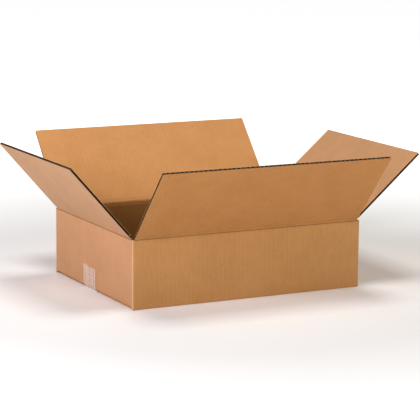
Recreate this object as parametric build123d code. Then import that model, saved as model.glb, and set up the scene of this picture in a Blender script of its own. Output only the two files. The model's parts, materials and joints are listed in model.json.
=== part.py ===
from build123d import *
import math
import os

# A regular slotted shipping box in single-wall corrugated board: one sheet, folded, glued at one corner and taped
# shut underneath, with its four top flaps standing open.
# Millimetres. X runs along the long side, Y across, Z up. The origin is the middle of the underside.

# ---- Driving dimensions ----

# Room inside the closed box
inner_length = 406.4
inner_width = 304.8
inner_height = 101.6

# The board: two liners with a fluted medium between them
board = 4.0
liner = 0.35
medium = 0.3
flute_pitch = 8.1
flank_angle = 50.0
glue_line_step = 0.12

# Folds, cuts and clearances of the blank
corner_radius = 2.5
fold_radius = 3.0
long_flap_end_gap = 0.3
short_flap_end_gap = 3.2
slot_depth = 1.0
seam_gap = 1.0
ply_gap = 0.3
crease_gap = 0.15
crush_width = 8.0
corner_lift = 1.5

# How far each top flap stands from upright at rest, and how far it can turn, in degrees from upright
front_open = 40.6
back_open = 41.5
left_open = 41.7
right_open = 49.5
inward_travel = 90.0
outward_travel = 135.0

# The glue tab inside the corner between the back wall and the left wall
tab_width = 25.0
tab_thickness = 3.0
tab_slant = 6.0
tab_clearance = 4.0

# The tape over the bottom seam
tape_width = 48.0
tape_offset = 14.5
tape_thickness = 0.08
tape_rise = 37.0
tape_step = 3.0
tape_step_width = 17.0

# ---- Sizes that follow ----

outer_length = inner_length + 2 * board
outer_width = inner_width + 2 * board
floor_top = 2 * board + ply_gap

# A slot of the blank is cut this far into each wall from the box's corner
long_slot = board + long_flap_end_gap
short_slot = board + short_flap_end_gap

# The short flaps close first and turn on the outer face. The long flaps close on them and turn on the board's middle.
short_axis_z = floor_top + inner_height + board
long_axis_z = short_axis_z + ply_gap + board / 2
long_axis_inset = board / 2

long_flap_width = outer_length - 2 * long_slot
short_flap_width = outer_width - 2 * short_slot
long_flap_length = outer_width / 2 - long_axis_inset - seam_gap / 2
short_flap_length = long_flap_length + long_axis_z - short_axis_z

slot_floor = short_axis_z - slot_depth
fold_top = floor_top + fold_radius

CROSS_SECTION_OF_LONG_WALL = Plane(origin=(0, 0, 0), x_dir=(0, 1, 0), z_dir=(1, 0, 0))
CROSS_SECTION_OF_SHORT_WALL = Plane(origin=(0, 0, 0), x_dir=(1, 0, 0), z_dir=(0, -1, 0))


# ---- Shared shapes ----

def prism(points, plane, width):
    """A closed outline on a plane, drawn out evenly to both sides of it."""
    outline = make_face(Polyline(*points, close=True))
    return extrude(plane * outline, amount=width / 2, both=True)


def block(x_range, y_range, z_range):
    """A box between two places on each axis."""
    size = [high - low for low, high in (x_range, y_range, z_range)]
    centre = [(high + low) / 2 for low, high in (x_range, y_range, z_range)]
    return Pos(*centre) * Box(*size)


def relief(depth, travel):
    """How far from the axis a crease is cut back on a face that lies depth from it, for half of a travel each side."""
    return crease_gap + depth * math.tan(math.radians(travel / 2))


# ---- Flutes ----

def flute_cell(pitch):
    """The hollow under one wave of the medium, seen along the flutes: its base lies on local Y = 0, centred on X = 0."""
    half_pitch = pitch / 2
    wave_height = board - 2 * liner - medium
    turn = math.radians(flank_angle)
    bend = (half_pitch * math.sin(turn) - wave_height * math.cos(turn)) / (2 * (1 - math.cos(turn)))
    crest_radius = bend - medium / 2
    root_radius = bend + medium / 2
    root_turn = math.acos(1 - glue_line_step / root_radius)
    crest_centre = wave_height - bend

    def on_crest(angle):
        return (crest_radius * math.sin(angle), crest_centre + crest_radius * math.cos(angle))

    def on_root(angle):
        return (half_pitch - root_radius * math.sin(angle), root_radius * (1 - math.cos(angle)))

    def mirrored(point):
        return (-point[0], point[1])

    middle_turn = (turn + root_turn) / 2
    foot = (on_root(root_turn)[0], 0)
    right = [foot, on_root(root_turn), on_root(middle_turn), on_root(turn), on_crest(turn)]
    left = [mirrored(point) for point in right]
    edges = [
        Line(right[0], right[1]),
        ThreePointArc(right[1], right[2], right[3]),
        Line(right[3], right[4]),
        ThreePointArc(right[4], on_crest(0), left[4]),
        Line(left[4], left[3]),
        ThreePointArc(left[3], left[2], left[1]),
        Line(left[1], left[0]),
        Line(left[0], right[0]),
    ]
    return make_face(edges)


def flute_cells(width, length, inner_face):
    """Every hollow of a flap: they start where the crease has crushed the board and run out through the free edge."""
    count = round(width / flute_pitch)
    pitch = width / count
    outline = flute_cell(pitch)
    run = length - crush_width + 1
    cells = []
    for i in range(2 * count + 1):
        x = -width / 2 + i * pitch / 2
        opens_inward = i % 2 == 0
        base = inner_face + liner if opens_inward else inner_face + board - liner
        across = -1 if opens_inward else 1
        section = Plane(origin=(x, crush_width, base), x_dir=(across, 0, 0), z_dir=(0, 1, 0))
        cells.append(extrude(section * outline, amount=run))
    return cells


# ---- Top flaps ----

def flap(width, length, axis_depth):
    """A top flap before it is put on the box. Its axis is X, it runs along Y, and its outer face looks along +Z.

    axis_depth is how deep the axis lies in the board, from the inner face.
    """
    outer_face = board - axis_depth
    inner_face = -axis_depth
    section = [
        (crease_gap, 0),
        (relief(outer_face, outward_travel), outer_face),
        (length, outer_face),
        (length, inner_face),
        (relief(axis_depth, inward_travel), inner_face),
    ]
    if outer_face == 0:
        del section[1]
    panel = prism(section, CROSS_SECTION_OF_LONG_WALL, width)
    return panel - flute_cells(width, length, inner_face)


def hung(panel, axis_point, outward, open_angle):
    """A flap put on its axis, turned open_angle out of upright towards outward."""
    lean = math.radians(open_angle)
    facing = Vector(*outward) * math.cos(lean) - Vector(0, 0, 1) * math.sin(lean)
    along = Vector(0, 0, 1).cross(Vector(*outward))
    return Plane(origin=axis_point, x_dir=along, z_dir=facing) * panel


def long_flap(side, open_angle):
    panel = flap(long_flap_width, long_flap_length, board - long_axis_inset)
    axis_point = (0, side * (outer_width / 2 - long_axis_inset), long_axis_z)
    return hung(panel, axis_point, (0, side, 0), open_angle)


def short_flap(side, open_angle):
    panel = flap(short_flap_width, short_flap_length, board)
    axis_point = (side * outer_length / 2, 0, short_axis_z)
    return hung(panel, axis_point, (side, 0, 0), open_angle)


# ---- The folded box: four walls, four bottom flaps and the glue tab, all one sheet ----

def wall_ring(z_range):
    """The four walls between two heights, rounded outside where the sheet folds round the corners."""
    low, high = z_range
    ring = RectangleRounded(outer_length, outer_width, corner_radius) - Rectangle(inner_length, inner_width)
    return Pos(0, 0, low) * extrude(ring, amount=high - low)


def corner_posts(z_range):
    """The parts of the walls that lie beyond the ends of the flaps, at the four corners."""
    far = outer_length
    long_middle = block((-outer_length / 2 + long_slot, outer_length / 2 - long_slot), (-far, far), z_range)
    short_middle = block((-far, far), (-outer_width / 2 + short_slot, outer_width / 2 - short_slot), z_range)
    return wall_ring(z_range) - long_middle - short_middle


def folded_wall(half_span, underside, flap_end, side, plane, width):
    """The foot of a wall and the bottom flap folded in from it, as one bent board with a rounded outer fold."""
    points = [
        (half_span, fold_top),
        (half_span, underside),
        (flap_end, underside),
        (flap_end, underside + board),
        (half_span - board, underside + board),
        (half_span - board, fold_top),
    ]
    outline = make_face(Polyline(*[(side * x, z) for x, z in points], close=True))
    fold = [v for v in outline.vertices() if abs(abs(v.X) - half_span) < 1e-6 and abs(v.Y - underside) < 1e-6]
    outline = fillet(fold, fold_radius)
    return extrude(plane * outline, amount=width / 2, both=True)


def long_crease_cuts():
    """What is cut off the long walls' top so that their flaps can turn both ways."""
    axis_y = outer_width / 2 - long_axis_inset
    above = long_axis_z + board
    outer_low = long_axis_z - relief(long_axis_inset, outward_travel)
    inner_low = long_axis_z - relief(board - long_axis_inset, inward_travel)
    peak = long_axis_z - crease_gap
    points = [
        (outer_width / 2, outer_low),
        (axis_y, peak),
        (outer_width / 2 - board, inner_low),
        (inner_width / 2 - board, inner_low),
        (inner_width / 2 - board, above),
        (outer_width / 2 + board, above),
        (outer_width / 2 + board, outer_low),
    ]
    return [
        prism([(side * y, z) for y, z in points], CROSS_SECTION_OF_LONG_WALL, long_flap_width)
        for side in (-1, 1)
    ]


def short_crease_cuts():
    """The mitres that the short walls' flaps close into."""
    high = short_axis_z - crease_gap
    low = short_axis_z - relief(board, inward_travel)
    above = long_axis_z + board
    points = [
        (outer_length / 2, high),
        (outer_length / 2 - board, low),
        (inner_length / 2 - board, low),
        (inner_length / 2 - board, above),
        (outer_length / 2 + board, above),
        (outer_length / 2 + board, high),
    ]
    return [
        prism([(side * x, z) for x, z in points], CROSS_SECTION_OF_SHORT_WALL, short_flap_width)
        for side in (-1, 1)
    ]


def glue_tab():
    """The tab on the back wall's end, folded in and glued flat to the left wall, with its ends cut on a slant."""
    low = floor_top + tab_clearance
    high = short_axis_z - relief(board, inward_travel) - tab_clearance
    back = inner_width / 2
    points = [
        (back, low),
        (back, high),
        (back - tab_width, high - tab_slant),
        (back - tab_width, low + tab_slant),
    ]
    tab = prism(points, CROSS_SECTION_OF_LONG_WALL, tab_thickness)
    return Pos(-inner_length / 2 + tab_thickness / 2, 0, 0) * tab


def tape_recess():
    """The tape's thickness pressed into the underside, so that the box still stands flat."""
    across = (tape_offset - tape_width / 2, tape_offset + tape_width / 2)
    return block((-outer_length, outer_length), across, (-board, tape_thickness))


def box_body():
    long_floor = [
        folded_wall(outer_width / 2, 0, seam_gap / 2, side, CROSS_SECTION_OF_LONG_WALL, long_flap_width)
        for side in (-1, 1)
    ]
    flap_reach = outer_width / 2 - seam_gap / 2
    short_floor = [
        folded_wall(
            outer_length / 2, board + ply_gap, outer_length / 2 - flap_reach, side,
            CROSS_SECTION_OF_SHORT_WALL, short_flap_width,
        )
        for side in (-1, 1)
    ]
    sheet = wall_ring((fold_top, long_axis_z)) + corner_posts((corner_lift, fold_top))
    sheet = sheet + long_floor + short_floor + glue_tab()
    sheet = sheet - corner_posts((slot_floor, long_axis_z + board))
    return sheet - long_crease_cuts() - short_crease_cuts() - tape_recess()


# ---- Tape ----

def tape_run(grown):
    """The outline that the tape is pulled round, seen along Y: up one end, under the box and up the other."""
    half = outer_length / 2
    centre = Vector(half - fold_radius, board + ply_gap + fold_radius)
    edge = Vector(half - long_slot, tape_thickness)
    to_edge = edge - centre
    # the tape leaves the wall's fold on the tangent that meets the lower edge of the long bottom flap
    spread = math.acos(fold_radius / to_edge.length)
    direction = math.atan2(to_edge.Y, to_edge.X) + spread
    tangent = centre + Vector(math.cos(direction), math.sin(direction)) * fold_radius
    middle = centre + Vector(math.cos(direction / 2), math.sin(direction / 2)) * fold_radius
    start = Vector(half, centre.Y)
    top = tape_rise + 2 * tape_step
    left = [Vector(-p.X, p.Y) for p in (start, middle, tangent, edge)]
    edges = [
        Line((half, top), start),
        ThreePointArc(start, middle, tangent),
        Line(tangent, edge),
        Line(edge, left[3]),
        Line(left[3], left[2]),
        ThreePointArc(left[2], left[1], left[0]),
        Line(left[0], (-half, top)),
        Line((-half, top), (half, top)),
    ]
    outline = make_face(edges)
    return offset(outline, amount=grown) if grown else outline


def bottom_tape():
    band = extrude(CROSS_SECTION_OF_SHORT_WALL * (tape_run(tape_thickness) - tape_run(0)), tape_width / 2, both=True)
    far = outer_length
    band -= block((-far, far), (-far, far), (tape_rise + tape_step, far))
    # the cut is straight on the right end, and torn off in a step on the left one
    band -= block((0, far), (-far, far), (tape_rise, far))
    step_from = tape_width / 2 - tape_step_width
    band -= block((-far, 0), (-far, step_from), (tape_rise, far))
    # it was laid on a little to the back of the seam
    return Pos(0, tape_offset, 0) * band


# ---- Write the parts ----

parts = {
    "box_body": box_body(),
    "flap_front": long_flap(-1, front_open),
    "flap_back": long_flap(1, back_open),
    "flap_left": short_flap(-1, left_open),
    "flap_right": short_flap(1, right_open),
    "bottom_tape": bottom_tape(),
}

os.makedirs("parts", exist_ok=True)
for name, shape in parts.items():
    export_step(shape, f"parts/{name}.step")
    solids = shape.solids()
    print(name, len(solids), "solid", round(sum(solid.volume for solid in solids)), "mm3")
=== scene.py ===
import bmesh
import bpy
import json
import math
from mathutils import Matrix, Vector

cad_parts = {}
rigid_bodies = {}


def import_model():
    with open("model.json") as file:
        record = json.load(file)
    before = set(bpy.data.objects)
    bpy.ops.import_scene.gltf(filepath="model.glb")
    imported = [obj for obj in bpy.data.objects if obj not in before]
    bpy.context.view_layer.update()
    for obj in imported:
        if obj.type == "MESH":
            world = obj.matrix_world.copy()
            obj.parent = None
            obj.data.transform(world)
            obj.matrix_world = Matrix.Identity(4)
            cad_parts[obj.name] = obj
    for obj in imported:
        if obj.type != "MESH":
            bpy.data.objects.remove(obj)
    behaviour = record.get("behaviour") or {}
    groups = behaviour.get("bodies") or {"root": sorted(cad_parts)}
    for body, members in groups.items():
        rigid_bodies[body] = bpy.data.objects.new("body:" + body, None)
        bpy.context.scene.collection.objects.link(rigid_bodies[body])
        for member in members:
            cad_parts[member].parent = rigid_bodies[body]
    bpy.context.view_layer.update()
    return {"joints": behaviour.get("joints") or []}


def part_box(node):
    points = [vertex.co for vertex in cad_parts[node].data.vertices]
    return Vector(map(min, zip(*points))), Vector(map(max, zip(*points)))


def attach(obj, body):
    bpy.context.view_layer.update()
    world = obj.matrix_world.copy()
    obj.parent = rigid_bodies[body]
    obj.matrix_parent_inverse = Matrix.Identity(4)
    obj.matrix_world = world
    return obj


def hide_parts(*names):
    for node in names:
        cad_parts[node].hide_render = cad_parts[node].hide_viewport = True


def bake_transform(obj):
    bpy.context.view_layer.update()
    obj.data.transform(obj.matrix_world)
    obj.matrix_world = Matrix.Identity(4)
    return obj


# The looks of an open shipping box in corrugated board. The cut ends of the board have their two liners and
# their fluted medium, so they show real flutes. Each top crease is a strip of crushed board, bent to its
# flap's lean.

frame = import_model()
joints = {joint["child"]: joint for joint in frame["joints"]}

# ---- Driving dimensions, in millimetres ----

MM = 0.001
BOARD = 4.0
LINER = 0.35
MEDIUM = 0.3
FLUTE_PITCH = 8.1
STEPS_PER_FLUTE = 12
LINER_DIP = 0.03

FOLD_RADIUS = 3.0
INNER_FOLD_RADIUS = 0.7
CORNER_RADIUS = 2.5
FLOOR_GAP = 0.1
PLY_GAP = 0.3
SEAM_GAP = 1.0
CORNER_LIFT = 0.6
FLUTED_END = 12.0
SLOT_DEPTH = 1.0

# The crushed strip round each crease. The score line is pressed a little below the axis. A crush is how far
# the outer and the inner liner are pressed in.
STRIP_REACH = 6.0
BEND_REACH = 3.0
CRUSH_TOP = 1.0
CRUSH_FADE = 3.6
LONG_CRUSH = (0.6, 1.1)
SHORT_CRUSH = (0.3, 1.9)
SCORE_Z = 112.6
SCORE_HALF = 0.7
SCORE_DEPTH = 0.3
PUCKER = 0.12
PUCKER_TOP = 2.5

# Rows of points along a strip: two below the score, an even run where it bends, and two where it is flat
BELOW_SCORE = (2.4, 1.3)
STATION_STEP = 0.6
BEND_STEPS = 6
ABOVE_BEND = (4.2, 5.0)

# Cut edges: how deep a flute's dark hollow goes, and how far down the medium, and in from its sides, a paler
# lit tone is painted over its painted shade
EDGE_HOLLOW = 3.0
SHALLOW_HOLLOW = 1.0
RIM_DEPTH = 4.5
SIDE_RIM = 0.9

TAB_WIDTH = 25.0
TAB_THICKNESS = 3.0
TAB_SLANT = 6.0
TAB_CLEARANCE = 4.0
TAB_ROUND = 0.5

TAPE_RISE = 37.0
TAPE_STEP = 3.0
TAPE_SKEW = 2.0
TAPE_STEP_WIDTH = 17.0
TAPE_FILM = 0.06
TAPE_THICKNESS = TAPE_FILM * 0.7
TAPE_LEVEL = 0.01
TAPE_TURN = 15
TAPE_TURNED = 0.28
TAPE_TOOTH = 0.35
TAPE_TEETH = 24

# Tests on places, in millimetres, and on directions and normals
CLOSE = 0.1
VERY_CLOSE = 0.01
STRAIGHT = 0.9
DEAD_STRAIGHT = 0.99

# ---- Sizes that follow from the frame ----

body_low, body_high = (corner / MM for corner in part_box("box_body"))
HALF_LENGTH = body_high.x
HALF_WIDTH = body_high.y
tape_low, tape_high = (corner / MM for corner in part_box("bottom_tape"))
TAPE_WIDTH = tape_high.y - tape_low.y
TAPE_MIDDLE = (tape_high.y + tape_low.y) / 2

AXIS = {body: Vector(joint["pos_m"]) / MM for body, joint in joints.items()}
LONG_AXIS_Z = AXIS["front_flap"].z
SHORT_AXIS_Z = AXIS["left_flap"].z
LONG_AXIS_INSET = HALF_WIDTH + AXIS["front_flap"].y
SPLIT_Z = SHORT_AXIS_Z - STRIP_REACH
SLOT_FLOOR = SHORT_AXIS_Z - SLOT_DEPTH


def node_span(node, axis):
    """How wide a CAD node is along one axis."""
    low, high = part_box(node)
    return (high[axis] - low[axis]) / MM


LONG_FLAP_WIDTH = node_span("flap_front", 0)
SHORT_FLAP_WIDTH = node_span("flap_left", 1)
LONG_FLAP_LENGTH = HALF_WIDTH - LONG_AXIS_INSET - SEAM_GAP / 2
SHORT_FLAP_LENGTH = LONG_FLAP_LENGTH + LONG_AXIS_Z - SHORT_AXIS_Z
FLAP_REACH = HALF_WIDTH - SEAM_GAP / 2

# The flap whose cut on its own right runs along a flute's wall, so that no open flute shows there
CLOSED_SIDE = "back"
CLOSED_REACH = 3.4

# How each side is turned from the front, and how far its flap stands from upright
TURN = {"front": 0.0, "right": 90.0, "back": 180.0, "left": -90.0}
LEAN = {"front": 40.6, "back": 41.5, "left": 41.7, "right": 49.5}

# The axis that each side's flutes are counted across
ACROSS = {"front": "X", "back": "X", "left": "Y", "right": "Y"}


def is_long(side):
    return ACROSS[side] == "X"


def panel_width(side):
    return LONG_FLAP_WIDTH if is_long(side) else SHORT_FLAP_WIDTH


def outer_face(side):
    """Where a flap's outer face lies in front of its axis, while the flap stands upright."""
    return -LONG_AXIS_INSET if is_long(side) else 0.0


# ---- Working by hand ----

def look_at(piece):
    """Make one piece the only selected and active one."""
    if bpy.context.object and bpy.context.object.mode != "OBJECT":
        bpy.ops.object.mode_set(mode="OBJECT")
    bpy.ops.object.select_all(action="DESELECT")
    piece.select_set(True)
    bpy.context.view_layer.objects.active = piece


def open_up(piece, kind):
    """Go into edit mode with nothing selected, picking VERT, EDGE or FACE."""
    look_at(piece)
    bpy.ops.object.mode_set(mode="EDIT")
    bpy.ops.mesh.select_mode(type=kind)
    bpy.ops.mesh.select_all(action="DESELECT")


def close_up():
    bpy.ops.object.mode_set(mode="OBJECT")


def pick_points(piece, wanted):
    """Select the points whose place, in millimetres, passes a test."""
    bpy.ops.mesh.select_mode(type="VERT")
    bpy.ops.mesh.select_all(action="DESELECT")
    mesh = bmesh.from_edit_mesh(piece.data)
    for point in mesh.verts:
        if wanted(point.co / MM):
            point.select_set(True)
    mesh.select_flush_mode()
    bmesh.update_edit_mesh(piece.data)


def pick_edges(piece, wanted):
    """Select the edges whose middle and direction pass a test."""
    bpy.ops.mesh.select_mode(type="EDGE")
    bpy.ops.mesh.select_all(action="DESELECT")
    mesh = bmesh.from_edit_mesh(piece.data)
    for edge in mesh.edges:
        start, end = (point.co / MM for point in edge.verts)
        if wanted((start + end) / 2, (end - start).normalized()):
            edge.select_set(True)
    bmesh.update_edit_mesh(piece.data)


def pick_faces(piece, wanted):
    """Select the faces whose middle and normal pass a test."""
    bpy.ops.mesh.select_mode(type="FACE")
    bpy.ops.mesh.select_all(action="DESELECT")
    mesh = bmesh.from_edit_mesh(piece.data)
    for face in mesh.faces:
        if wanted(face.calc_center_median() / MM, face.normal):
            face.select_set(True)
    bmesh.update_edit_mesh(piece.data)


def shift(x, y, z):
    bpy.ops.transform.translate(value=(x * MM, y * MM, z * MM))


def pull_out(x, y, z):
    bpy.ops.mesh.extrude_region_move(TRANSFORM_OT_translate={"value": (x * MM, y * MM, z * MM)})


def block(name, low, high):
    """A cube put between two corners, to be shaped further."""
    low, high = Vector(low) * MM, Vector(high) * MM
    bpy.ops.object.select_all(action="DESELECT")
    bpy.ops.mesh.primitive_cube_add(size=1, location=(low + high) / 2, scale=high - low)
    piece = bpy.context.object
    piece.name = name
    settle(piece)
    return piece


def upright_grid(name, columns, rows, x_range, y, z_range):
    """A flat grid that stands along X and faces the front."""
    bpy.ops.object.select_all(action="DESELECT")
    bpy.ops.mesh.primitive_grid_add(x_subdivisions=columns, y_subdivisions=rows, size=1)
    piece = bpy.context.object
    piece.name = name
    piece.scale = ((x_range[1] - x_range[0]) * MM, (z_range[1] - z_range[0]) * MM, 1)
    piece.rotation_euler = (math.pi / 2, 0, 0)
    piece.location = (sum(x_range) / 2 * MM, y * MM, sum(z_range) / 2 * MM)
    settle(piece)
    return piece


def settle(piece):
    """Put the piece's place, turn and scale into its mesh."""
    look_at(piece)
    bpy.ops.object.transform_apply(location=True, rotation=True, scale=True)


def place(piece, lean, turn, location):
    """Lean a piece back about its own X, turn it about Z and put it somewhere."""
    piece.rotation_euler = (math.radians(lean), 0, math.radians(turn))
    piece.location = Vector(location) * MM
    settle(piece)


def thicken(piece, amount, offset, shell_slot=0):
    """Give a sheet its thickness. Offset -1 grows it behind its faces and 0 to both sides."""
    look_at(piece)
    solid = piece.modifiers.new("thickness", "SOLIDIFY")
    solid.thickness = amount * MM
    solid.offset = offset
    solid.material_offset = shell_slot
    bpy.ops.object.modifier_apply(modifier=solid.name)


def join(name, parts):
    """Join finished parts into one piece."""
    look_at(parts[0])
    for part in parts:
        part.select_set(True)
    bpy.ops.object.join()
    piece = bpy.context.object
    piece.name = name
    piece.data.name = name
    return piece


def finish_surface(piece, angle=40):
    look_at(piece)
    bpy.ops.object.shade_smooth_by_angle(angle=math.radians(angle))


# ---- Materials ----

# A mix node's sockets for colours, which share their names with those for plain numbers
MIX_BASE = 6
MIX_OVER = 7
MIX_RESULT = 2


class Nodes:
    """A short way to put nodes into a material and wire them up."""

    def __init__(self, name):
        self.material = bpy.data.materials.new(name)
        self.material.use_nodes = True
        self.tree = self.material.node_tree
        self.shader = self.tree.nodes["Principled BSDF"]
        self.place = self.add("ShaderNodeTexCoord").outputs["Object"]

    def add(self, kind, **settings):
        node = self.tree.nodes.new(kind)
        for name, value in settings.items():
            setattr(node, name, value)
        return node

    def wire(self, source, target):
        self.tree.links.new(source, target)

    def stretched(self, scale):
        """The place on the piece, stretched by a scale for each axis."""
        mapping = self.add("ShaderNodeMapping")
        mapping.inputs["Scale"].default_value = scale
        self.wire(self.place, mapping.inputs["Vector"])
        return mapping.outputs["Vector"]

    def noise(self, scale, detail=3.0, stretch=(1, 1, 1), roughness=0.5):
        texture = self.add("ShaderNodeTexNoise")
        texture.inputs["Scale"].default_value = scale
        texture.inputs["Detail"].default_value = detail
        texture.inputs["Roughness"].default_value = roughness
        self.wire(self.stretched(stretch), texture.inputs["Vector"])
        return texture.outputs["Fac"]

    def ramp(self, value, low, high, start=0.0, end=1.0):
        """Map low..high of a value to start..end."""
        node = self.add("ShaderNodeMapRange")
        node.inputs["From Min"].default_value = low
        node.inputs["From Max"].default_value = high
        node.inputs["To Min"].default_value = start
        node.inputs["To Max"].default_value = end
        self.wire(value, node.inputs["Value"])
        return node.outputs["Result"]

    def maths(self, operation, first, second):
        node = self.add("ShaderNodeMath", operation=operation)
        for socket, value in zip(node.inputs, (first, second)):
            if isinstance(value, (int, float)):
                socket.default_value = value
            else:
                self.wire(value, socket)
        return node.outputs["Value"]

    def tint(self, amount, base, colour):
        """Lay a colour over another by an amount."""
        node = self.add("ShaderNodeMix", data_type="RGBA")
        self.wire(amount, node.inputs[0])
        for socket, value in ((node.inputs[MIX_BASE], base), (node.inputs[MIX_OVER], colour)):
            if isinstance(value, tuple):
                socket.default_value = (*value, 1.0)
            else:
                self.wire(value, socket)
        return node.outputs[MIX_RESULT]

    def bump(self, height, distance, strength):
        node = self.add("ShaderNodeBump")
        node.inputs["Distance"].default_value = distance
        node.inputs["Strength"].default_value = strength
        self.wire(height, node.inputs["Height"])
        self.wire(node.outputs["Normal"], self.shader.inputs["Normal"])


def flute_lines(make, across):
    """Faint bands along the flutes, one for each wave of the medium."""
    split = make.add("ShaderNodeSeparateXYZ")
    make.wire(make.place, split.inputs["Vector"])
    turns = make.maths("MULTIPLY", split.outputs[across], 2 * math.pi / (FLUTE_PITCH * MM))
    wander = make.noise(9.0, 2.0)
    return make.maths("SINE", make.maths("ADD", turns, make.maths("MULTIPLY", wander, 2.5)), 0.0)


def kraft(name, across, pale, deep, fibre):
    """Kraft liner: mottled brown paper with fine fibres, dark specks and the flutes just showing through."""
    make = Nodes(name)
    along = (1, 1, 0.22)
    cloud = make.ramp(make.noise(22.0, 5.0, roughness=0.65), 0.34, 0.66)
    colour = make.tint(cloud, deep, pale)
    streaks = make.ramp(make.noise(260.0, 3.0, along), 0.35, 0.7)
    colour = make.tint(make.maths("MULTIPLY", streaks, 0.20), colour, fibre)
    fine = make.ramp(make.noise(1500.0, 2.0), 0.3, 0.7, 0.94, 1.06)
    speck_field = make.noise(330.0, 1.0)
    specks = make.ramp(speck_field, 0.765, 0.80, 0.0, 0.6)
    lines = make.ramp(flute_lines(make, across), -1.0, 1.0, 0.988, 1.012)
    shade = make.maths("MULTIPLY", fine, lines)
    mixed = make.add("ShaderNodeVectorMath", operation="SCALE")
    make.wire(colour, mixed.inputs[0])
    make.wire(shade, mixed.inputs["Scale"])
    make.wire(make.tint(specks, mixed.outputs[0], (0.10, 0.05, 0.025)), make.shader.inputs["Base Color"])
    make.wire(make.ramp(make.noise(120.0, 3.0), 0.3, 0.7, 0.72, 0.86), make.shader.inputs["Roughness"])
    make.shader.inputs["Specular IOR Level"].default_value = 0.25
    fibres = make.maths("MULTIPLY", make.noise(1100.0, 3.0, along), 0.6)
    relief = make.maths("ADD", fibres, make.noise(420.0, 2.0))
    make.bump(relief, 0.00008, 0.35)
    return make.material


def shaded_paper(name, pale, deep):
    """Rough recycled paper, for the medium and the flute walls, and for the painted shade inside the flutes.
    """
    make = Nodes(name)
    cloud = make.ramp(make.noise(90.0, 4.0), 0.3, 0.7)
    make.wire(make.tint(cloud, deep, pale), make.shader.inputs["Base Color"])
    make.shader.inputs["Roughness"].default_value = 0.9
    make.shader.inputs["Specular IOR Level"].default_value = 0.1
    make.bump(make.noise(900.0, 3.0), 0.0001, 0.4)
    return make.material


def tape_film(name):
    """Clear packing tape: a milky film with the flutes pressing through it in upright streaks."""
    make = Nodes(name)
    streaks = make.ramp(make.noise(120.0, 2.0, (1, 1, 0.04)), 0.35, 0.65)
    pressed = make.ramp(flute_lines(make, "Y"), -0.2, 0.9)
    cover = make.maths("ADD", make.maths("MULTIPLY", streaks, 0.22), make.maths("MULTIPLY", pressed, 0.16))
    make.wire(make.ramp(cover, 0.0, 0.38, 0.50, 0.70), make.shader.inputs["Alpha"])
    make.shader.inputs["Base Color"].default_value = (0.92, 0.68, 0.53, 1.0)
    make.wire(make.ramp(make.noise(300.0, 2.0), 0.3, 0.7, 0.22, 0.36), make.shader.inputs["Roughness"])
    make.bump(make.noise(260.0, 2.0, (1, 1, 0.2)), 0.00005, 0.3)
    return make.material


# The pale tone, the deep tone and the fibres of each liner. The long panels, with flutes across X, are
# painted browner and the end panels, across Y, pinker. This is a painted light tint over the paper's own
# tone:
# the warmer front light on the long panels and the cooler left light on the end panels.
OUTSIDE = {
    "X": kraft("kraft outside long", "X", (0.585, 0.290, 0.106), (0.535, 0.258, 0.088), (0.65, 0.36, 0.16)),
    "Y": kraft("kraft outside end", "Y", (0.605, 0.310, 0.152), (0.560, 0.280, 0.130), (0.66, 0.38, 0.20)),
}
# Painted shade: the flaps' outer faces are a darker copy of the walls' outer liner, greyer on the end flaps.
# It holds back the light that the down-facing flaps take from the glowing floor.
FLAP_OUTSIDE_SHADED = {
    "X": kraft("kraft flap outside shaded long", "X", (0.50, 0.228, 0.072), (0.452, 0.20, 0.06), (0.56, 0.29, 0.12)),
    "Y": kraft("kraft flap outside shaded end", "Y", (0.555, 0.312, 0.168), (0.51, 0.28, 0.145), (0.63, 0.38, 0.22)),
}
FLAP_INSIDE = {
    "X": kraft("kraft flap inside long", "X", (0.77, 0.370, 0.136), (0.71, 0.332, 0.114), (0.82, 0.46, 0.20)),
    "Y": kraft("kraft flap inside end", "Y", (0.68, 0.355, 0.168), (0.63, 0.322, 0.145), (0.74, 0.44, 0.22)),
}
# Painted shade: the walls' inner liner is the same paper as the flaps' inner liner, painted much darker as
# the shade inside the box.
WALL_INSIDE_SHADED = {
    "X": kraft("kraft wall inside shaded long", "X", (0.34, 0.163, 0.044), (0.29, 0.136, 0.034), (0.39, 0.20, 0.07)),
    "Y": kraft("kraft wall inside shaded end", "Y", (0.40, 0.200, 0.065), (0.35, 0.170, 0.052), (0.45, 0.24, 0.09)),
}
# Painted shade: the score line is painted dark, standing in for the shade in the fold's groove.
SCORE = kraft("score line painted shade", "X", (0.33, 0.155, 0.050), (0.27, 0.122, 0.038), (0.37, 0.18, 0.065))
# Painted highlight for the round of each vertical corner.
CORNER_HIGHLIGHT = kraft("corner painted highlight", "Y", (0.74, 0.43, 0.25), (0.69, 0.39, 0.22), (0.80, 0.50, 0.31))
# Painted shade: near-black paper put inside the cut flutes and on the liners' backs, where only shade falls.
HOLLOW = shaded_paper("shaded flute", (0.040, 0.029, 0.024), (0.022, 0.016, 0.013))
# The medium's paler lit tone, painted near a cut edge where daylight reaches in. It is darker on the end
# panels.
MEDIUM_PAPER = {
    "X": shaded_paper("fluting paper long", (0.31, 0.225, 0.160), (0.23, 0.165, 0.112)),
    "Y": shaded_paper("fluting paper end", (0.15, 0.115, 0.085), (0.10, 0.075, 0.055)),
}
FLUTE_WALL = shaded_paper("closed flute wall", (0.56, 0.30, 0.13), (0.48, 0.25, 0.10))
FILM = tape_film("clear tape film")


def coat(piece, *materials):
    """Fill a piece's material slots in order."""
    for material in materials:
        piece.data.materials.append(material)


def paint(piece, slot, wanted):
    """Give one material slot to the faces whose middle and normal pass a test."""
    open_up(piece, "FACE")
    pick_faces(piece, wanted)
    piece.active_material_index = slot
    bpy.ops.object.material_slot_assign()
    close_up()


# ---- Corrugated board ----

def half_flutes(width):
    """How many columns a panel has at two for each flute."""
    return 2 * round(width / FLUTE_PITCH)


def column_of(point, width, columns):
    return round((point.x + width / 2) * columns / width)


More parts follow.
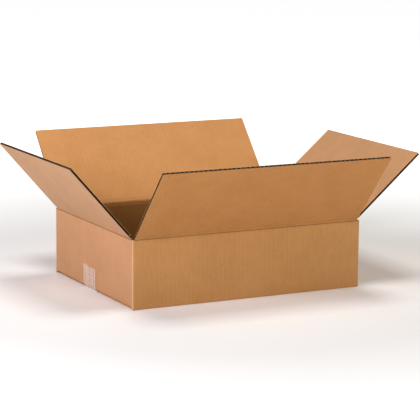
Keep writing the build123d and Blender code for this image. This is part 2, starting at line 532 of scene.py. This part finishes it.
def hollow_end(piece, end, depth, slot):
    """Sink the picked faces at one end inside a rim as thick as a liner, and give the hollow a slot."""
    bpy.ops.mesh.inset(thickness=LINER * MM, use_boundary=True)
    pull_out(-end * depth, 0, 0)
    bpy.ops.mesh.select_more()
    piece.active_material_index = slot
    bpy.ops.object.material_slot_assign()


def waved_sheet(name, width, y, z_range, rise, crest, rows=1):
    """A sheet that follows the flutes. rise(turn) gives how far it stands out at a turn of the wave."""
    flutes = round(width / FLUTE_PITCH)
    columns = flutes * STEPS_PER_FLUTE
    sheet = upright_grid(name, columns, rows, (-width / 2, width / 2), y, z_range)
    open_up(sheet, "VERT")
    for step in range(STEPS_PER_FLUTE):
        height = rise(2 * math.pi * step / STEPS_PER_FLUTE + crest)
        if abs(height) < 1e-6:
            continue

        def on_step(point, step=step):
            return column_of(point, width, columns) % STEPS_PER_FLUTE == step

        pick_points(sheet, on_step)
        shift(0, -height, 0)
    close_up()
    return sheet


def close_flutes(panel, width, outer_y, ends):
    """Where the cut runs along a flute's wall, that wall shows and no dark hollow does."""
    panel.data.materials.append(FLUTE_WALL)
    wall_slot = len(panel.data.materials) - 1

    def in_the_cut(middle, normal):
        on_liner = abs(middle.y - outer_y - BOARD / 2) > BOARD / 2 - 0.7 * LINER
        return any(middle.x * end > width / 2 - CLOSED_REACH for end in ends) and not on_liner

    paint(panel, wall_slot, in_the_cut)


def fluted_panel(name, side, width, near, far, outer_y, facing, lining):
    """An upright panel of board from near to far, facing the front: two liners and the medium between."""
    middle = outer_y + BOARD / 2
    swing = (BOARD - MEDIUM) / 2 - LINER
    across = ACROSS[side]

    def dip(turn):
        return LINER_DIP * (math.cos(turn) - 1) / 2

    outer = waved_sheet(name + "_outer", width, outer_y, (near, far), dip, 0)
    # the liner's back, toward the flutes, takes the painted shade
    coat(outer, facing[across], HOLLOW)
    thicken(outer, LINER, -1, 1)

    inner_y = outer_y + BOARD
    inner = waved_sheet(name + "_inner", width, inner_y, (near, far), lambda turn: -dip(turn), math.pi)
    open_up(inner, "FACE")
    bpy.ops.mesh.select_all(action="SELECT")
    bpy.ops.mesh.flip_normals()
    close_up()
    coat(inner, lining[across], HOLLOW)
    thicken(inner, LINER, -1, 1)

    # the medium stops just short of the free edge. It is painted in shade, and a paler lit tone is painted a
    # little way down it from there, where daylight would reach
    top = far - MEDIUM
    halfway = (near + top) / 2

    def wave(turn):
        return swing * math.cos(turn)

    def in_daylight(middle, normal):
        return middle.z > top - RIM_DEPTH or abs(middle.x) > width / 2 - SIDE_RIM

    medium = waved_sheet(name + "_medium", width, middle, (near, top), wave, 0, rows=2)
    open_up(medium, "VERT")
    pick_points(medium, lambda point: abs(point.z - halfway) < CLOSE)
    shift(0, 0, top - RIM_DEPTH - halfway)
    close_up()
    coat(medium, HOLLOW, MEDIUM_PAPER[across])
    thicken(medium, MEDIUM, 0)
    paint(medium, 1, in_daylight)
    return join(name, [outer, inner, medium])


# ---- Top flaps ----

def top_flap(side):
    width = panel_width(side)
    length = LONG_FLAP_LENGTH if is_long(side) else SHORT_FLAP_LENGTH
    outer_y = outer_face(side)
    name = side + "_flap_board"
    # the flap's outer face takes the darker painted-shade copy of the outer liner
    panel = fluted_panel(name, side, width, STRIP_REACH, length, outer_y, FLAP_OUTSIDE_SHADED, FLAP_INSIDE)
    if side == CLOSED_SIDE:
        close_flutes(panel, width, outer_y, (1,))
    place(panel, LEAN[side], TURN[side], AXIS[side + "_flap"])
    finish_surface(panel, 30)
    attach(panel, side + "_flap")
    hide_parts("flap_" + side)
    return panel


# ---- Creases ----

def smooth(share):
    """Ease a share from 0 to 1, level at both ends."""
    share = min(max(share, 0.0), 1.0)
    return share * share * (3 - 2 * share)


def crease_strip(side):
    """The crushed board between a wall and its top flap: thin at the score and bent with the flap."""
    axis_point = AXIS[side + "_flap"]
    width = panel_width(side)
    outer_y = outer_face(side)
    crush_out, crush_in = LONG_CRUSH if is_long(side) else SHORT_CRUSH
    depth = axis_point.z - SPLIT_Z
    score = SCORE_Z - axis_point.z
    lean = math.radians(LEAN[side])

    # rows of points along the board: wide apart below the score, close where it bends
    below = [-depth, *(score - reach for reach in BELOW_SCORE), score - SCORE_HALF, score + SCORE_HALF]
    first = math.ceil((score + SCORE_HALF + STATION_STEP / 2) / STATION_STEP)
    bending = [step * STATION_STEP for step in range(first, BEND_STEPS)]
    stations = [*below, *bending, *ABOVE_BEND, STRIP_REACH]
    rows = len(stations) - 1
    columns = half_flutes(width)
    set_aside = 1000

    # the cross-section, as a ladder of faces from the outer face to the inner one
    bpy.ops.object.select_all(action="DESELECT")
    bpy.ops.mesh.primitive_grid_add(x_subdivisions=rows, y_subdivisions=1, size=1)
    strip = bpy.context.object
    strip.name = side + "_crease"
    strip.scale = (rows * MM, BOARD * MM, 1)
    strip.rotation_euler = (0, -math.pi / 2, 0)
    strip.location = (-width / 2 * MM, (outer_y + BOARD / 2) * MM, rows / 2 * MM)
    settle(strip)

    open_up(strip, "VERT")
    for row in range(rows, -1, -1):
        station = stations[row]
        crushed = 1 - smooth(max(score - station, station - CRUSH_TOP, 0) / CRUSH_FADE)
        scored = SCORE_DEPTH if abs(station - score) < SCORE_HALF + VERY_CLOSE else 0
        turn = lean * smooth((station + BEND_REACH) / (2 * BEND_REACH))
        for y, pressed in ((outer_y, crush_out * crushed + scored), (outer_y + BOARD, -crush_in * crushed)):
            here = Vector((-width / 2, y, row))
            pick_points(strip, lambda point: (point - here).length < CLOSE)
            flat_y = y + pressed
            bent_y = flat_y * math.cos(turn) - station * math.sin(turn)
            bent_z = flat_y * math.sin(turn) + station * math.cos(turn)
            # set aside beyond the row numbers, so that a moved point is never picked again
            shift(0, bent_y - y, bent_z - row - set_aside)
    bpy.ops.mesh.select_all(action="SELECT")
    shift(0, 0, set_aside)

    # drawn out across the box, and divided into two columns for each flute
    pull_out(width, 0, 0)
    bpy.ops.mesh.select_all(action="SELECT")
    bpy.ops.mesh.normals_make_consistent(inside=False)
    pick_edges(strip, lambda middle, direction: abs(direction.x) > DEAD_STRAIGHT)
    bpy.ops.mesh.subdivide(number_cuts=columns - 1)

    # the crushed flutes pucker the crease a little
    def puckered(point):
        column = column_of(point, width, columns)
        return column % 2 == 1 and score + SCORE_HALF < point.z < PUCKER_TOP

    pick_points(strip, puckered)
    shift(0, PUCKER, 0)
    close_up()

    across = ACROSS[side]
    flap_in, score_shade, open_flute, shaded_wall_in, closed_flute, shaded_flap_out = range(1, 7)
    coat(strip, OUTSIDE[across], FLAP_INSIDE[across], SCORE, HOLLOW, WALL_INSIDE_SHADED[across], FLUTE_WALL)
    coat(strip, FLAP_OUTSIDE_SHADED[across])

    def faces_in(middle, normal):
        return abs(normal.x) < 0.5 and normal.y > 0.2

    def on_score(middle, normal):
        return abs(normal.x) < 0.5 and abs(normal.y) > 0.5 and abs(middle.z - score) < SCORE_HALF

    def faces_out(middle, normal):
        return abs(normal.x) < 0.5 and normal.y < 0 and middle.z > score

    # painted shade: above the score the outer face takes the darkened flap outside
    paint(strip, shaded_flap_out, faces_out)
    paint(strip, flap_in, faces_in)
    # painted shade: below the score the inner liner takes the darkened wall inside
    paint(strip, shaded_wall_in, lambda middle, normal: faces_in(middle, normal) and middle.z < score)
    # painted shade along the score line, on both liners
    paint(strip, score_shade, on_score)

    # the ends are cut: the flutes stand open there, but for the one cut that runs along a flute's wall
    open_up(strip, "FACE")
    for end in (-1, 1):
        pick_faces(strip, lambda middle, normal: normal.x * end > STRAIGHT and middle.z > -depth + 0.2)
        closed = side == CLOSED_SIDE and end > 0
        hollow_end(strip, end, EDGE_HOLLOW, closed_flute if closed else open_flute)
    close_up()

    place(strip, 0, TURN[side], axis_point)
    finish_surface(strip, 50)

    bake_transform(strip)
    return strip


# ---- Walls and bottom ----

def folded_wall(side):
    """A wall and the bottom flap folded in from its foot, in one bent board."""
    width = panel_width(side)
    columns = half_flutes(width)
    half = HALF_WIDTH if is_long(side) else HALF_LENGTH
    underside = FLOOR_GAP if is_long(side) else BOARD + PLY_GAP
    reach = FLAP_REACH
    top = SPLIT_Z
    across = ACROSS[side]
    inside, flute_wall = 1, 2

    name = side + "_wall"
    wall = block(name, (-width / 2, -half, underside), (width / 2, -half + BOARD, underside + BOARD))
    open_up(wall, "FACE")
    pick_faces(wall, lambda middle, normal: normal.z > STRAIGHT)
    pull_out(0, 0, top - underside - BOARD)
    pick_faces(wall, lambda middle, normal: normal.y > STRAIGHT and middle.z < underside + BOARD)
    pull_out(0, reach - BOARD - FLUTED_END, 0)

    def fold_line(depth):
        """Pick the edge along the fold, at a depth into the board from its outer faces."""
        corner = Vector((0, depth - half, underside + depth))

        def along_fold(middle, direction):
            return abs(direction.x) > STRAIGHT and (middle - corner).length < CLOSE

        pick_edges(wall, along_fold)

    fold_line(0)
    bpy.ops.mesh.bevel(offset=FOLD_RADIUS * MM, segments=6)
    fold_line(BOARD)
    bpy.ops.mesh.bevel(offset=INNER_FOLD_RADIUS * MM, segments=3)
    pick_edges(wall, lambda middle, direction: abs(direction.x) > DEAD_STRAIGHT)
    bpy.ops.mesh.subdivide(number_cuts=columns - 1)

    def between_crests(point):
        on_outer = abs(point.y + half) < VERY_CLOSE and point.z < top - VERY_CLOSE
        return column_of(point, width, columns) % 2 == 1 and on_outer

    pick_points(wall, between_crests)
    shift(0, LINER_DIP, 0)
    close_up()
    coat(wall, OUTSIDE[across], WALL_INSIDE_SHADED[across], FLUTE_WALL)

    def looks_inside(middle, normal):
        return (normal.y > 0.3 or normal.z > 0.3) and middle.y > -half + FOLD_RADIUS

    # painted shade: the inner faces of the walls and bottom flaps take the darkened inner liner
    paint(wall, inside, looks_inside)

    # the bottom flap's sides are cut along the flutes
    open_up(wall, "FACE")
    for end in (-1, 1):
        pick_faces(wall, lambda middle, normal: normal.x * end > STRAIGHT and middle.y > -half + BOARD)
        hollow_end(wall, end, SHALLOW_HOLLOW, flute_wall)
    close_up()

    # the bottom flap's free edge is cut across the flutes
    edge_name = side + "_bottom_edge"
    edge = fluted_panel(edge_name, side, width, reach - FLUTED_END, reach, 0, OUTSIDE, WALL_INSIDE_SHADED)
    close_flutes(edge, width, 0, (-1, 1))
    place(edge, 90, 180, (0, -half, underside))
    whole = join(name, [wall, edge])
    place(whole, 0, TURN[side], (0, 0, 0))
    return whole


def corner_post(x_side, y_side):
    """The vertical fold at one corner, cut open at its top where the slot between two flaps ends."""
    x_in, x_out = x_side * LONG_FLAP_WIDTH / 2, x_side * HALF_LENGTH
    y_in, y_out = y_side * SHORT_FLAP_WIDTH / 2, y_side * HALF_WIDTH
    low = (min(x_in, x_out), min(y_in, y_out), CORNER_LIFT)
    high = (max(x_in, x_out), max(y_in, y_out), SLOT_FLOOR)
    post = block("corner_post", low, high)
    open_up(post, "EDGE")

    def outer_edge(middle, direction):
        return abs(direction.z) > STRAIGHT and abs(middle.x - x_out) < CLOSE and abs(middle.y - y_out) < CLOSE

    pick_edges(post, outer_edge)
    bpy.ops.mesh.bevel(offset=CORNER_RADIUS * MM, segments=6)
    pick_faces(post, lambda middle, normal: normal.z > STRAIGHT)
    bpy.ops.mesh.inset(thickness=LINER * MM)
    pull_out(0, 0, -EDGE_HOLLOW)

    # its foot rises from the long wall's fold to the short wall's
    pick_points(post, lambda point: abs(point.z - CORNER_LIFT) < VERY_CLOSE and abs(point.y - y_in) < CLOSE)
    shift(0, 0, BOARD + PLY_GAP - CORNER_LIFT)
    close_up()
    open_flute, end_face, stretched = 1, 2, 3
    coat(post, OUTSIDE["X"], HOLLOW, OUTSIDE["Y"], CORNER_HIGHLIGHT)
    paint(post, open_flute, lambda middle, normal: -EDGE_HOLLOW - CLOSE < middle.z - SLOT_FLOOR < -CLOSE)
    paint(post, end_face, lambda middle, normal: abs(normal.x) > abs(normal.y) and abs(normal.z) < 0.5)
    # painted highlight: the corner's round is painted paler where it turns out of the end wall, as if
    # catching the light
    paint(post, stretched, lambda middle, normal: 0.75 < abs(normal.x) < 0.995 and abs(normal.z) < 0.5)
    return post


def glue_tab():
    """The tab on the back wall's end, glued flat inside the left wall, with its ends cut on a slant."""
    inner_x = -HALF_LENGTH + BOARD
    back = HALF_WIDTH - BOARD
    low = 2 * BOARD + PLY_GAP + TAB_CLEARANCE
    high = SHORT_AXIS_Z - BOARD - TAB_CLEARANCE
    tab = block("glue_tab", (inner_x, back - TAB_WIDTH, low), (inner_x + TAB_THICKNESS, back, high))
    open_up(tab, "VERT")
    for end, slant in ((low, TAB_SLANT), (high, -TAB_SLANT)):
        pick_points(tab, lambda point: abs(point.z - end) < CLOSE and point.y < back - TAB_WIDTH + CLOSE)
        shift(0, 0, slant)
    pick_edges(tab, lambda middle, direction: middle.x > inner_x + TAB_THICKNESS - CLOSE)
    bpy.ops.mesh.bevel(offset=TAB_ROUND * MM, segments=2)
    close_up()
    # painted shade: the tab takes the darkened inner liner of the walls
    coat(tab, WALL_INSIDE_SHADED["Y"])
    return tab


def box_sheet():
    walls = [folded_wall(side) for side in TURN]
    posts = [corner_post(x_side, y_side) for x_side in (-1, 1) for y_side in (-1, 1)]
    sheet = join("box_sheet", [*walls, *posts, glue_tab()])
    finish_surface(sheet, 30)
    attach(sheet, "box")
    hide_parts("box_body")
    return sheet


# ---- Tape ----

def bottom_tape():
    """One strip of tape along the bottom seam, turned up both ends. The left end is torn off in a step."""
    half_tape = TAPE_WIDTH / 2
    tooth = TAPE_WIDTH / TAPE_TEETH
    step_y = half_tape - TAPE_STEP_WIDTH
    edge_x = LONG_FLAP_WIDTH / 2
    fold_x = HALF_LENGTH - FOLD_RADIUS
    fold_z = BOARD + PLY_GAP + FOLD_RADIUS
    round_foot = FOLD_RADIUS + TAPE_FILM

    tape = upright_grid("bottom_tape_film", TAPE_TEETH, 1, (-half_tape, half_tape), 0, (-edge_x, edge_x))
    place(tape, 90, 90, (0, 0, TAPE_LEVEL))
    open_up(tape, "EDGE")
    for end in (-1, 1):
        def at_end(middle, direction):
            return abs(middle.x - end * edge_x) < CLOSE and abs(direction.y) > STRAIGHT

        pick_edges(tape, at_end)
        x, z = edge_x, TAPE_LEVEL
        for turn in range(0, 91, TAPE_TURN):
            # round the foot of the end wall, from nearly under it to flat against it
            angle = math.radians(turn) * (1 - TAPE_TURNED) + math.radians(90 * TAPE_TURNED)
            next_x = fold_x + round_foot * math.sin(angle)
            next_z = fold_z - round_foot * math.cos(angle)
            pull_out(end * (next_x - x), 0, next_z - z)
            x, z = next_x, next_z
        pull_out(0, 0, TAPE_RISE - z)

    def torn_top(middle, direction):
        on_top = middle.x < 0 and abs(middle.z - TAPE_RISE) < CLOSE and abs(direction.y) > STRAIGHT
        return on_top and middle.y > step_y - tooth / 2

    pick_edges(tape, torn_top)
    pull_out(0, 0, TAPE_STEP)

    # the cutter's teeth
    def on_tooth(point):
        column = round((point.y + half_tape) / tooth)
        low_edge = abs(point.z - TAPE_RISE) < CLOSE and (point.x > 0 or point.y < step_y)
        return column % 2 == 1 and (low_edge or abs(point.z - TAPE_RISE - TAPE_STEP) < CLOSE)

    pick_points(tape, on_tooth)
    shift(0, 0, -TAPE_TOOTH)

    # the torn edge rises again towards the front
    for column in range(1, round((step_y + half_tape) / tooth) + 1):
        edge_y = max(step_y - column * tooth, -half_tape)

        def on_torn_edge(point, edge_y=edge_y):
            return point.x < 0 and abs(point.y - edge_y) < tooth / 2 and point.z > TAPE_RISE - 1

        pick_points(tape, on_torn_edge)
        shift(0, 0, TAPE_SKEW * column * tooth / TAPE_WIDTH)
    bpy.ops.mesh.select_all(action="SELECT")
    bpy.ops.mesh.remove_doubles(threshold=0.00001)
    bpy.ops.mesh.normals_make_consistent(inside=False)
    close_up()
    coat(tape, FILM)
    thicken(tape, TAPE_THICKNESS, -1)
    place(tape, 0, 0, (0, TAPE_MIDDLE, 0))
    finish_surface(tape, 40)
    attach(tape, "box")
    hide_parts("bottom_tape")
    return tape


# ---- Stage, lights and camera ----

# Metres from here on. The floor glows more from one distance to another, so that it fades to white.
FLOOR_SIZE = 60
NEAR_GLOW = 0.13
FAR_GLOW = 0.95
GLOW_START = 0.5
GLOW_END = 1.7
WORLD_GLOW = 0.02
LIGHT_AIM = (0, 0, 0.1)

# A long lens, low and to the left of the front
CAMERA_AZIMUTH = -27.13
CAMERA_ELEVATION = 10.43
CAMERA_ROLL = 0.53
CAMERA_DISTANCE = 3.3381
CAMERA_SIDE_STEP = 0.0083
CAMERA_LIFT = 0.1177
CAMERA_SENSOR = 36
CAMERA_LENS = 169.2

# name, azimuth, elevation, distance, size, watts, colour
LIGHTS = [
    ("left_key", -78, 25, 2.4, 0.8, 26, (1.0, 1.0, 1.12)),
    ("front_left", -50, 15, 2.8, 0.7, 8, (1.0, 0.99, 0.94)),
    ("front_key", 5, 19.5, 2.8, 0.45, 12, (1.0, 0.97, 0.84)),
    ("front_right", 45, 15, 2.8, 0.7, 9, (1.0, 0.97, 0.86)),
    ("back_fill", 172, 15, 2.8, 0.9, 14, (1.0, 0.98, 0.93)),
    ("right_fill", 105, 15, 2.8, 0.9, 8, (1.0, 0.98, 0.95)),
    ("top", 0, 86, 2.8, 1.0, 32, (1.0, 0.97, 0.92)),
]


def direction_to(azimuth, elevation):
    """The way from the box to an azimuth (0 is the front, 90 the right) and an elevation, in degrees."""
    around, up = math.radians(azimuth), math.radians(elevation)
    return Vector((math.sin(around) * math.cos(up), -math.cos(around) * math.cos(up), math.sin(up)))


def pale_floor():
    bpy.ops.object.select_all(action="DESELECT")
    bpy.ops.mesh.primitive_plane_add(size=FLOOR_SIZE, location=(0, 0, 0))
    floor = bpy.context.object
    floor.name = "pale_floor"
    make = Nodes("pale floor")
    cloud = make.ramp(make.noise(1.5, 2.0), 0.3, 0.7)
    make.wire(make.tint(cloud, (0.93, 0.93, 0.93), (0.95, 0.95, 0.95)), make.shader.inputs["Base Color"])
    make.shader.inputs["Roughness"].default_value = 0.9
    make.shader.inputs["Specular IOR Level"].default_value = 0.1
    make.shader.inputs["Emission Color"].default_value = (1.0, 1.0, 1.0, 1.0)
    away = make.add("ShaderNodeVectorMath", operation="LENGTH")
    make.wire(make.place, away.inputs[0])
    glow = make.ramp(away.outputs["Value"], GLOW_START, GLOW_END, NEAR_GLOW, FAR_GLOW)
    make.wire(glow, make.shader.inputs["Emission Strength"])
    coat(floor, make.material)


def soft_light(name, azimuth, elevation, distance, size, watts, colour):
    """A square soft light that looks at the box."""
    away = direction_to(azimuth, elevation)
    bpy.ops.object.select_all(action="DESELECT")
    bpy.ops.object.light_add(type="AREA", location=Vector(LIGHT_AIM) + away * distance)
    light = bpy.context.object
    light.name = name
    light.rotation_euler = away.to_track_quat("Z", "Y").to_euler()
    light.data.shape = "SQUARE"
    light.data.size = size
    light.data.energy = watts
    light.data.color = colour


def studio():
    world = bpy.data.worlds.new("studio")
    bpy.context.scene.world = world
    world.use_nodes = True
    world.node_tree.nodes["Background"].inputs["Color"].default_value = (1.0, 1.0, 1.0, 1.0)
    world.node_tree.nodes["Background"].inputs["Strength"].default_value = WORLD_GLOW
    for light in LIGHTS:
        soft_light(*light)
    bpy.context.scene.view_settings.view_transform = "Standard"


def camera():
    """Put the camera in its place, turned about its own line of sight by the roll."""
    roll = math.radians(CAMERA_ROLL)
    back = direction_to(CAMERA_AZIMUTH, CAMERA_ELEVATION)
    level_right = Vector((0, 0, 1)).cross(back).normalized()
    level_up = back.cross(level_right)
    right = level_right * math.cos(roll) + level_up * math.sin(roll)
    up = level_up * math.cos(roll) - level_right * math.sin(roll)
    bpy.ops.object.select_all(action="DESELECT")
    spot = right * CAMERA_SIDE_STEP + up * CAMERA_LIFT + back * CAMERA_DISTANCE
    bpy.ops.object.camera_add(location=spot)
    view = bpy.context.object
    view.name = "view"
    view.rotation_euler = Matrix((right, up, back)).transposed().to_euler()
    view.data.sensor_width = CAMERA_SENSOR
    view.data.lens = CAMERA_LENS
    bpy.context.scene.camera = view


pale_floor()
studio()
camera()
box_sheet()
for flap_side in TURN:
    top_flap(flap_side)
    crease_strip(flap_side)
bottom_tape()
